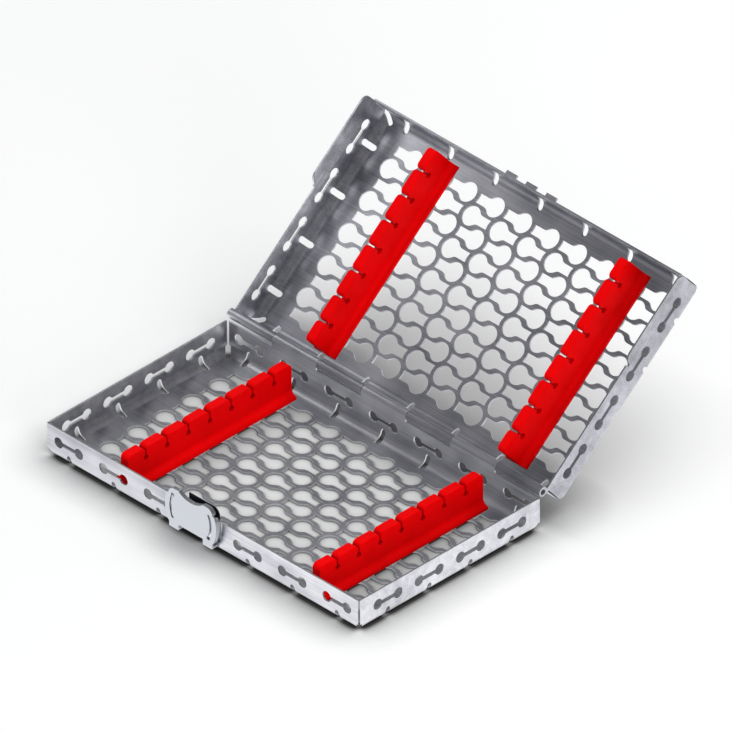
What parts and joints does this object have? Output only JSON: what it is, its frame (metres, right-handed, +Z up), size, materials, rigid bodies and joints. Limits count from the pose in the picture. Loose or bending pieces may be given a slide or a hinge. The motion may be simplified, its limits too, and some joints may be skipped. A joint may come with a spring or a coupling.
{
  "type": "dental instrument cassette",
  "caption": "Open folding tray and lid of perforated sheet steel for holding slim instruments on soft comb rails, with a rolled hinge and a sprung front latch.",
  "frame": {"origin": "middle of the tray's underside, on the surface that it stands on", "axes": "+X along the hinge to the right as seen from the latch, +Y from the latch to the hinge, +Z up"},
  "size_m": [0.2072, 0.2255, 0.0974],
  "materials": {
    "sheet": "fine brushed stainless sheet",
    "pin": "drawn stainless wire",
    "rail": "matt moulded silicone",
    "latch": "satin stainless sheet",
    "leaf": "dark spring steel"
  },
  "bodies": {
    "tray": {"tray_shell": "sheet", "hinge_pin": "pin", "tray_rail_left": "rail", "tray_rail_right": "rail", "latch_spring": "leaf", "latch_rivets": "pin"},
    "lid": {"lid_shell": "sheet", "lid_rail_left": "rail", "lid_rail_right": "rail"},
    "latch": {"latch_plate": "latch"}
  },
  "joints": [
    {"name": "lid_hinge", "type": "hinge", "parent": "tray", "child": "lid", "pos_m": [0, 0.0606, 0.02], "axis": [1, 0, 0], "range_deg": [-40, 140]},
    {"name": "latch_pivot", "type": "hinge", "parent": "tray", "child": "latch", "pos_m": [-0.0038, -0.059, 0.004], "axis": [1, 0, 0], "range_deg": [-4.5, 18]}
  ]
}
